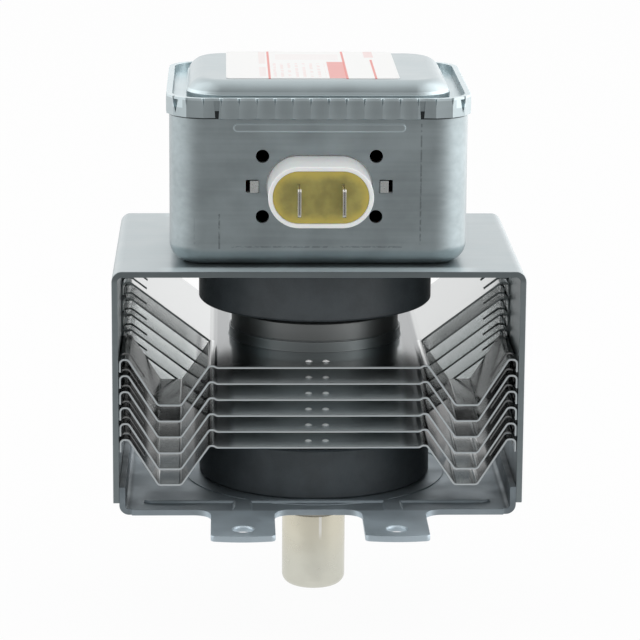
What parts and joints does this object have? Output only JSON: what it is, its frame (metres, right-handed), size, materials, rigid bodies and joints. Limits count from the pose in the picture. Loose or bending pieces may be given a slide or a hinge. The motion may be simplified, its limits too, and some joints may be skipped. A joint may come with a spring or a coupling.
{
  "type": "magnetron",
  "caption": "Microwave-oven magnetron: finned vacuum tube between ring magnets in a folded steel yoke, with a crimped filter box and plug above and a capped antenna below the bolt plate.",
  "frame": {"origin": "on the tube's axis, in the mounting face, which is the underside of the mounting plate", "axes": "+Z along the tube's axis from the antenna to the filter box, -Y towards the connector, X from side to side of the yoke"},
  "size_m": [0.095, 0.1142, 0.1275],
  "materials": {
    "box_steel": "zinc-coated sheet, drawn, faintly streaked and scuffed",
    "lid_steel": "zinc-coated sheet, drawn and crimped",
    "label_film": "white film, semi-gloss, without words",
    "tinned_steel": "bright tinned sheet",
    "case_plastic": "white moulded shell, semi-gloss",
    "resin": "cast epoxy, ochre yellow, slightly uneven",
    "capacitor_ceramic": "fired ceramic with silvered faces",
    "sleeve_plastic": "dark moulded sleeve",
    "terminal_brass": "tinned brass sheet",
    "enamelled_copper": "enamelled copper wire",
    "core_ferrite": "sintered ferrite, matt",
    "white_ceramic": "fired alumina, matt",
    "seal_metal": "plated drawn metal",
    "hot_metal": "bare refractory wire and discs",
    "copper": "bare copper",
    "pole_steel": "pressed steel",
    "antenna_nickel": "satin nickel, slightly warm",
    "gasket_mesh": "knitted brass wire",
    "magnet_ferrite": "sintered ferrite, dark grey, slightly rough",
    "fin_aluminium": "bright pressed sheet",
    "yoke_steel": "zinc-coated sheet, folded",
    "plate_steel": "zinc-coated sheet, folded, bright"
  },
  "bodies": {
    "root": {"filter_box": "box_steel", "filter_lid": "lid_steel", "rating_label": "label_film", "ground_plate": "tinned_steel", "gasket_ring": "tinned_steel", "connector_case": "case_plastic", "potting_resin": "resin", "capacitor_block": "capacitor_ceramic", "capacitor_inner_case": "sleeve_plastic", "terminal_left": "terminal_brass", "terminal_right": "terminal_brass", "stem_terminal_left": "terminal_brass", "stem_terminal_right": "terminal_brass", "choke_coil_left": "enamelled_copper", "choke_coil_right": "enamelled_copper", "choke_core_left": "core_ferrite", "choke_core_right": "core_ferrite", "stem_insulator": "white_ceramic", "antenna_insulator": "white_ceramic", "cathode_seal_tube": "seal_metal", "antenna_seal_tube": "seal_metal", "centre_lead": "hot_metal", "side_lead": "hot_metal", "filament": "hot_metal", "upper_end_hat": "hot_metal", "lower_end_hat": "hot_metal", "anode_cylinder": "copper", "vane_01": "copper", "vane_02": "copper", "vane_03": "copper", "vane_04": "copper", "vane_05": "copper", "vane_06": "copper", "vane_07": "copper", "vane_08": "copper", "vane_09": "copper", "vane_10": "copper", "upper_inner_strap": "copper", "upper_outer_strap": "copper", "lower_inner_strap": "copper", "lower_outer_strap": "copper", "antenna_lead": "copper", "exhaust_tube": "copper", "upper_pole_piece": "pole_steel", "lower_pole_piece": "pole_steel", "antenna_cap": "antenna_nickel", "rf_gasket": "gasket_mesh", "upper_magnet": "magnet_ferrite", "lower_magnet": "magnet_ferrite", "cooling_fin_1": "fin_aluminium", "cooling_fin_2": "fin_aluminium", "cooling_fin_3": "fin_aluminium", "cooling_fin_4": "fin_aluminium", "cooling_fin_5": "fin_aluminium", "cooling_fin_6": "fin_aluminium", "yoke_frame": "yoke_steel", "mounting_plate": "plate_steel"}
  },
  "joints": []
}
